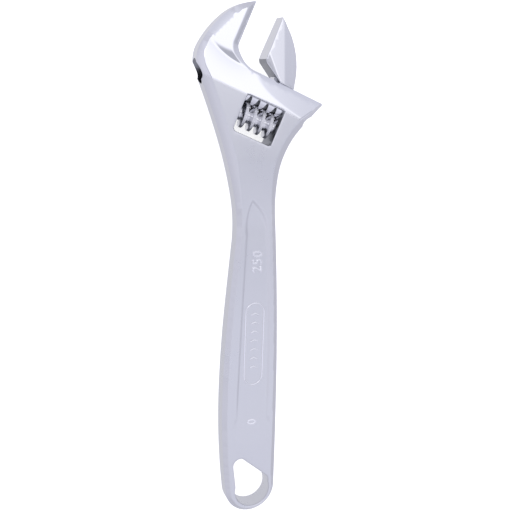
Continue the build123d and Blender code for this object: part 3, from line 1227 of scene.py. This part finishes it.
@dataclass
class SlidingJaw:
    """The jaw that stands on the shelf, over the neck and the rack bar that run inside the head."""

    axes: HeadAxes
    mid_z: float
    tip_half: float = 4.3
    base_half: float = 6.4
    face_u: float = -38.0
    tip: Point = (-35.9, 114.05)
    face_top_v: float = 115.35
    face_foot_v: float = 94.9
    relief_start: Point = (-37.0, 93.4)
    base_v: float = 88.05
    relief_end_u: float = -27.4
    back_u: float = -19.5
    back_middle: Point = (-25.4, 104.2)
    ridge: tuple[Point, Point] = ((-36.4, 114.5), (-24.6, 88.0))
    front_tilt: float = 0.05
    back_slope: float = 0.10
    foot_bevel: float = 3.0
    foot_slope: float = 0.22
    edge: float = 0.3
    back_edge: float = 1.2
    step: float = 0.45
    back_step: float = 0.6
    neck_u: Point = (-30.0, -19.7)
    neck_half: float = 2.7
    rack_axis_v: float = 77.2
    bar_radius: float = 4.45

    def outline(self) -> Loop:
        """The blade's outline, soft along its back and crisp elsewhere.

        Returns:
            The loop, anticlockwise.
        """
        corners = [
            self.tip,
            (self.face_u, self.face_top_v),
            (self.face_u, self.face_foot_v),
            self.relief_start,
            (self.relief_end_u, self.base_v),
            (self.back_u, self.base_v),
        ]
        rows = [line(a, b, self.step) for a, b in zip(corners, corners[1:])]
        back = arc_through(corners[-1], self.back_middle, self.tip, self.back_step)
        points = np.vstack([*rows, back])
        track = np.vstack([*rows, corners[-1]])
        gap, _ = nearest(points, track)
        return Loop(self.axes.to_row(points), self.edge + (self.back_edge - self.edge) * ease(gap / 2.5))

    def height(self, points: np.ndarray) -> np.ndarray:
        """The half thickness of the blade: thinner to its tip and its back, with a facet at its foot.

        Args:
            points: where to read it.

        Returns:
            The half thicknesses.
        """
        u, v = self.axes.from_row(points)
        taper = (self.tip_half - self.base_half) / (self.face_top_v - self.base_v)
        front = self.base_half + taper * (v - self.base_v)
        (u0, v0), (u1, v1) = self.ridge
        past = ((u - u0) * (v0 - v1) + (v - v0) * (u1 - u0)) / math.hypot(u1 - u0, v1 - v0)
        front = front - self.front_tilt * (u - self.face_u)
        back = front - self.back_slope * past
        (fu, fv), (eu, ev) = self.relief_start, (self.relief_end_u, self.base_v)
        length = math.hypot(eu - fu, fv - ev)
        along = ((u - fu) * (eu - fu) + (v - fv) * (ev - fv)) / length
        off = ((u - fu) * (fv - ev) + (v - fv) * (eu - fu)) / length
        reach = self.foot_bevel * np.clip(1 - along / length, 0.0, 1.3)
        foot = front - self.foot_slope * (reach - off)
        return soft_min(soft_min(front, back, 0.06), foot, 0.06)

    def rack(self) -> bpy.types.Mesh:
        """The CAD jaw's neck and toothed bar, cut off under the blade.

        Returns:
            The mesh, with a short block that reaches up into the blade.
        """
        shape = bmesh.new()
        shape.from_mesh(frame["nodes"]["movable_jaw"].data)
        bmesh.ops.remove_doubles(shape, verts=shape.verts, dist=1e-7)
        plane = self.axes.place(0, self.base_v - 0.01, self.mid_z)
        trim(shape, plane.translation, plane.to_3x3() @ Vector((1, 0, 0)))
        low = (self.base_v - 1.5, -self.neck_half + 0.01, self.neck_u[0])
        high = (self.base_v + 2.4, self.neck_half - 0.01, self.neck_u[1])
        neck = block_mesh(low, high, self.axes.place(0, 0, self.mid_z))
        shape.from_mesh(neck)
        mesh = bpy.data.meshes.new("jaw_rack")
        shape.to_mesh(mesh)
        shape.free()
        return mesh

    def shadow_faces(self, mesh: bpy.types.Mesh) -> None:
        """Paints shade on the relief and in the rack's grooves with the second material.

        Args:
            mesh: the blade's or the rack's mesh.
        """
        middles, normals = face_places(mesh)
        u, v = self.axes.from_row(middles[:, :2])
        nu, nv = self.axes.from_row(normals[:, :2])
        to_axis = np.hypot(v - self.rack_axis_v, middles[:, 2] - self.mid_z)
        relief = (nv < -0.5) & (nu < -0.1) & (v > self.base_v + 0.1)
        groove = (v < self.base_v - 1) & (to_axis < self.bar_radius - 0.12) & (u < self.back_u - 0.5)
        # Painted shade on the relief's underside and in the rack's grooves.
        paint(mesh, relief | groove, 1)

    def build(self, *materials: bpy.types.Material) -> list[bpy.types.Object]:
        """Makes the blade and the rack, and hides the CAD jaw.

        Args:
            materials: the plate's, and the painted shade of the relief and the rack's grooves.

        Returns:
            The blade and the rack.
        """
        forging = Forging("jaw_blade", [self.outline()], self.height, self.mid_z)
        blade = new_piece("jaw_blade", forging.mesh())
        shade(blade.data, 32)
        rack = new_piece("jaw_rack", self.rack())
        shade(rack.data, 25)
        for piece in (blade, rack):
            dress(piece, *materials)
            self.shadow_faces(piece.data)
            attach(piece, Body.JAW.value)
        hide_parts("movable_jaw")
        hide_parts("movable_jaw")
        return [blade, rack]


# ---- Worm ----------------------------------------------------------------------------------------


@dataclass
class KnurledWorm:
    """The adjusting screw: a right-hand thread whose crests are knurled for the thumb."""

    axes: HeadAxes
    mid_z: float
    start_u: float = -39.5
    end_u: float = -20.7
    axis_v: float = 68.2
    radius: float = 6.4
    depth: float = 2.8
    pitch: float = 4.4
    crest: float = 1.6
    flank: float = 0.7
    centre_u: float = -33.5
    bore: float = 1.8
    knurls: int = 60
    knurl_depth: float = 0.16

    def profile(self) -> list[tuple[float, float, float]]:
        """A section across one turn of the thread.

        Returns:
            For each point its place along the axis, its height over the root, and its share
            of the knurl.
        """
        half, foot = self.crest / 2, self.crest / 2 + self.flank
        rows = [(-self.pitch / 2, 0.0, 0.0), (-foot - 0.15, 0.0, 0.0), (-foot + 0.1, 0.3, 0.0)]
        rows += [(-half - 0.12, self.depth - 0.35, 0.0), (-half, self.depth - 0.08, 0.0)]
        for i in range(9):
            across = -half + 0.1 + (self.crest - 0.2) * i / 8
            rows.append((across, self.depth, 0.0 if i in (0, 8) else 1.0))
        rows += [(half, self.depth - 0.08, 0.0), (half + 0.12, self.depth - 0.35, 0.0)]
        rows += [(foot - 0.1, 0.3, 0.0), (foot + 0.15, 0.0, 0.0)]
        return rows

    def knurl(self, turn: float, across: float) -> float:
        """A diamond knurl.

        Args:
            turn: how far round the thread, in turns.
            across: how far across its crest, in millimetres.

        Returns:
            From 0 on the peaks to 1 in the grooves.
        """
        slant = across / self.crest * 1.5
        first = abs(((turn * self.knurls + slant) % 1.0) - 0.5) * 2
        second = abs(((turn * self.knurls - slant) % 1.0) - 0.5) * 2
        return 1.0 - min(first, second)

    def build(self, material: bpy.types.Material) -> bpy.types.Object:
        """Sweeps the profile round the axis, trims both ends and bores the worm.

        Args:
            material: the worm's finish.

        Returns:
            The worm.
        """
        root, sides = self.radius - self.depth, self.knurls * 6
        turns = math.ceil((self.end_u - self.start_u) / self.pitch) + 3
        first = math.floor((self.start_u - self.centre_u) / self.pitch) - 1
        across = self.profile()
        rows = []
        for i in range(turns * sides + 1):
            turn = first + i / sides
            for along, height, knurled in across:
                low = self.knurl(turn, along) * self.knurl_depth * knurled
                r = root + height - low
                angle = 2 * math.pi * turn
                u = self.centre_u - self.start_u + turn * self.pitch + along
                rows.append((r * math.cos(angle), r * math.sin(angle), u))
        width = len(across)
        faces = []
        for i in range(turns * sides):
            for k in range(width - 1):
                a = i * width + k
                faces.append((a, a + width, a + width + 1, a + 1))
            if i + sides < turns * sides:
                a, b = i * width + width - 1, (i + sides) * width
                faces.append((a, a + width, b + width, b))
        mesh = mesh_from("worm_thread", np.array(rows), faces)
        length = self.end_u - self.start_u
        shape = bmesh.new()
        shape.from_mesh(mesh)
        bmesh.ops.remove_doubles(shape, verts=shape.verts, dist=1e-6)
        trim(shape, (0, 0, 0), (0, 0, -1))
        trim(shape, (0, 0, length * MM), (0, 0, 1))
        bmesh.ops.recalc_face_normals(shape, faces=shape.faces)
        shape.to_mesh(mesh)
        shape.free()
        piece = new_piece("knurled_worm", mesh)
        mesh.transform(self.axes.place(self.start_u, self.axis_v, self.mid_z))
        before = self.axes.place(self.start_u - 1, self.axis_v, self.mid_z)
        cut(piece, [rod_mesh(self.bore, length + 2, before, 48)])
        shade(piece.data, 28)
        dress(piece, material)
        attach(piece, Body.WORM.value)
        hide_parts("worm")
        return piece


# ---- Raised marks --------------------------------------------------------------------------------


@dataclass
class RaisedMarks:
    """What stands up from the panels: the size, in two units, and a plain frame with bars in it."""

    mid_z: float
    floor: float = 4.32
    relief: float = 0.40
    rounding: float = 0.22
    digits: tuple[tuple[str, str, float, Point], ...] = (
        ("size_metric", "250", 6.6, (0.6, 6.5)),
        ("size_inch", "10", 6.2, (0.4, -79.0)),
    )
    frame_low: Point = (-4.6, -57.0)
    frame_high: Point = (4.9, -14.5)
    ridge_width: float = 0.8
    bars: int = 7
    bar_top_y: float = -20.5
    bar_pitch: float = 4.6

    def solid(self, name: str, curve: bpy.types.Curve, place: Matrix) -> bpy.types.Object:
        """Turns a curve into a mesh piece.

        Args:
            name: what the piece is called.
            curve: the curve or text, with its bevel.
            place: where it goes.

        Returns:
            The piece.
        """
        source = new_piece(name, curve)
        bpy.context.view_layer.update()
        graph = bpy.context.evaluated_depsgraph_get()
        mesh = bpy.data.meshes.new_from_object(source.evaluated_get(graph))
        mesh.transform(place)
        bpy.data.objects.remove(source)
        return new_piece(name, mesh)

    def lettering(self, name: str, text: str, size: float, at: Point) -> bpy.types.Object:
        """Digits that read up the handle.

        Args:
            name: what the piece is called.
            text: the digits.
            size: their height, in millimetres.
            at: their middle.

        Returns:
            The piece.
        """
        curve = bpy.data.curves.new(name, "FONT")
        curve.body = text
        curve.size = size * MM
        curve.align_x, curve.align_y = "CENTER", "CENTER"
        curve.extrude = self.relief * MM
        curve.bevel_depth = self.rounding * MM
        curve.bevel_resolution = 2
        curve.space_character = 1.15
        curve.offset = -0.02 * MM
        up = Vector((*at, self.mid_z + self.floor)) * MM
        return self.solid(name, curve, Matrix.Translation(up) @ Matrix.Rotation(math.pi / 2, 4, "Z"))

    def ridge(self, name: str, track: np.ndarray, width: float, closed: bool) -> bpy.types.Object:
        """A low round-topped ridge.

        Args:
            name: what the piece is called.
            track: the points that it follows.
            width: its width, in millimetres.
            closed: whether it returns to its start.

        Returns:
            The piece.
        """
        curve = bpy.data.curves.new(name, "CURVE")
        curve.dimensions = "3D"
        spline = curve.splines.new("POLY")
        spline.points.add(len(track) - 1)
        for point, (x, y) in zip(spline.points, track):
            point.co = (x * MM, y * MM, (self.mid_z + self.floor) * MM, 1)
        spline.use_cyclic_u = closed
        curve.bevel_depth = width / 2 * MM
        curve.bevel_resolution = 3
        curve.use_fill_caps = True
        return self.solid(name, curve, Matrix.Identity(4))

    def stadium(self, low: Point, high: Point) -> np.ndarray:
        """A long loop with round ends.

        Args:
            low: its lowest corner.
            high: its highest corner.

        Returns:
            Its points.
        """
        r = (high[0] - low[0]) / 2
        x, y0, y1 = (low[0] + high[0]) / 2, low[1] + r, high[1] - r
        rows = [
            arc_through((x - r, y0), (x, y0 - r), (x + r, y0), 0.6),
            line((x + r, y0), (x + r, y1), 2.0),
            arc_through((x + r, y1), (x, y1 + r), (x - r, y1), 0.6),
            line((x - r, y1), (x - r, y0), 2.0),
        ]
        return np.vstack(rows)

    def build(self, material: bpy.types.Material) -> list[bpy.types.Object]:
        """Makes every mark on the upper side.

        Args:
            material: their finish.

        Returns:
            The marks.
        """
        pieces = [self.lettering(*digits) for digits in self.digits]
        rim = self.stadium(self.frame_low, self.frame_high)
        pieces.append(self.ridge("mark_frame", rim, self.ridge_width, True))
        for i in range(self.bars):
            y = self.bar_top_y - i * self.bar_pitch
            bar = np.array([(-1.7, y), (0.2, y + 0.9), (2.1, y)])
            pieces.append(self.ridge(f"mark_bar_{i + 1}", bar, self.ridge_width, False))
        for piece in pieces:
            piece.data.shade_smooth()
            dress(piece, material)
            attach(piece, Body.FORGING.value)
        return pieces


# ---- Studio --------------------------------------------------------------------------------------


@dataclass
class Studio:
    """A pale floor under soft light, and the camera."""

    camera_at: tuple[float, float, float] = (-0.12616, 0.09605, 0.3647)
    camera_turn: tuple[float, float, float] = (-13.6456, -19.1444, 1.9579)
    lens: float = 55.9
    low_wall: Colour = (0.70, 0.70, 0.75)
    high_wall: Colour = (0.60, 0.60, 0.68)
    left_wall: Colour = (0.74, 0.74, 0.84)
    tone: Colour = (0.97, 0.98, 1.12)
    ceiling: tuple[Point, ...] = (
        (-1.0, 0.62),
        (-0.60, 0.70),
        (-0.30, 0.88),
        (-0.12, 0.46),
        (0.0, 0.60),
        (0.3, 0.72),
        (1.0, 0.66),
    )
    lamp_at: tuple[float, float, float] = (-0.3, 0.35, 0.9)
    lamp_size: Point = (0.25, 0.25)
    side_lamp_glow: float = 1.2
    lamp_near: Point = (-0.07, 0.05)
    lamp_far: Point = (0.20, 0.42)
    lamp_right: Point = (0.36, 0.60)
    lamp_left: Point = (-0.40, -0.02)
    lamp_glow: Colour = (1.14, 1.14, 1.22)
    floor_reach: float = 3000.0

    def floor(self) -> bpy.types.Object:
        """A pale matt floor that the wrench lies on.

        Returns:
            The floor.
        """
        r = self.floor_reach
        floor = new_piece("floor", block_mesh((-r, -r, -20), (r, r, 0), Matrix.Identity(4)))
        graph = Finish("floor_paint")
        graph.feed(graph.shader.inputs["Base Color"], (0.92, 0.92, 0.92, 1))
        graph.feed(graph.shader.inputs["Roughness"], 0.9)
        graph.feed(graph.shader.inputs["Emission Color"], (1, 1, 1, 1))
        graph.feed(graph.shader.inputs["Emission Strength"], 0.72)
        dress(floor, graph.material)
        floor.visible_glossy = False
        floor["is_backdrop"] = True
        return floor

    def lamp(self, name: str, at: Sequence[float], aim: Sequence[float], size: Point, glow: float) -> None:
        """A soft rectangular lamp, which the camera doesn't see.

        Args:
            name: what it is called.
            at: where it is, in metres.
            aim: the point that it faces.
            size: its width and height, in metres.
            glow: how bright its face is.
        """
        data = bpy.data.lights.new(name, "AREA")
        data.shape = "RECTANGLE"
        data.size, data.size_y = size
        data.energy = glow * math.pi * size[0] * size[1]
        lamp = bpy.data.objects.new(name, data)
        bpy.context.scene.collection.objects.link(lamp)
        lamp.location = at
        lamp.rotation_euler = (Vector(aim) - Vector(at)).to_track_quat("-Z", "Y").to_euler()
        lamp.visible_camera = False

    def sky(self) -> None:
        """A room with one wide soft light overhead, towards the jaws, and grey-lavender walls."""
        world = bpy.data.worlds.new("studio")
        bpy.context.scene.world = world
        graph = Graph(world, "ShaderNodeBackground", "ShaderNodeOutputWorld")
        where = graph.node("ShaderNodeTexCoord", {}, {}, "Generated")
        x, y, z = (graph.dot(where, axis) for axis in ((1, 0, 0), (0, 1, 0), (0, 0, 1)))
        overhead = graph.slope(z, 0.2, 0.6)
        shades = [((at + 1) / 2, tuple(glow * tone for tone in self.tone)) for at, glow in self.ceiling]
        ceiling = graph.node("ShaderNodeValToRGB", {"stops": shades}, {0: y * 0.5 + 0.5}, "Color")
        lamp = graph.slope(y, *self.lamp_near) * (1.0 - graph.slope(y, *self.lamp_far) * 0.7)
        lamp = lamp * (1.0 - graph.slope(x, *self.lamp_right)) * graph.slope(x, *self.lamp_left) * overhead
        left = graph.slope(x * -1.0, 0.2, 0.6)
        ceiling = graph.mix(left, ceiling, self.left_wall)
        wall = graph.mix(graph.slope(z, -1.0, 0.2), self.low_wall, self.high_wall)
        room = graph.mix(overhead, wall, ceiling)
        graph.feed(graph.shader.inputs["Color"], graph.mix(lamp, room, self.lamp_glow))

    def build(self) -> None:
        """Sets up the floor, the lamps, the sky and the camera."""
        self.floor()
        self.lamp("side_lamp", self.lamp_at, (0.0, 0.0, 0.0), self.lamp_size, self.side_lamp_glow)
        self.sky()
        camera = bpy.data.objects.new("camera", bpy.data.cameras.new("camera"))
        bpy.context.scene.collection.objects.link(camera)
        camera.data.lens = self.lens
        camera.location = self.camera_at
        camera.rotation_euler = Euler([math.radians(a) for a in self.camera_turn])
        bpy.context.scene.camera = camera
        bpy.context.scene.view_settings.view_transform = "Standard"


# ---- Scene ---------------------------------------------------------------------------------------


def corners(box: tuple[Vector, Vector]) -> list[list[float]]:
    """A box's two corners as plain lists."""
    return [list(corner) for corner in box]


def main() -> None:
    """Builds the wrench's pieces and the studio, and measures both boxes."""
    logging.basicConfig(level=logging.INFO, format="%(name)s: %(message)s")
    cad_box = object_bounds()
    slide = next(joint for joint in frame["joints"] if joint["name"] == "jaw_slide")
    axes = HeadAxes(math.atan2(-slide["axis"][1], slide["axis"][0]))
    mid_z = (cad_box[0].z + cad_box[1].z) / 2 / MM

    satin, bright, raised, shaded = (plate.material(axes) for plate in CHROME)
    # The last steel paints shade on the inner walls, the relief and the grooves.
    worn, pin, wire, inner_shade = (steel.material(axes) for steel in STEEL)

    pieces = [ForgedBody(axes, mid_z, mid_z).build(satin, inner_shade, shaded)]
    pieces += SlidingJaw(axes, mid_z).build(bright, inner_shade)
    pieces.append(KnurledWorm(axes, mid_z).build(worn))
    pieces += RaisedMarks(mid_z).build(raised)
    dress(frame["nodes"]["worm_pin"], pin)
    dress(frame["nodes"]["worm_spring"], wire)
    for piece in pieces:
        LOG.info("%s: %d faces", piece.name, len(piece.data.polygons))

    Studio().build()
    {"cad": corners(cad_box), "visual": corners(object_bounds())}


if __name__ == "__main__":
    main()
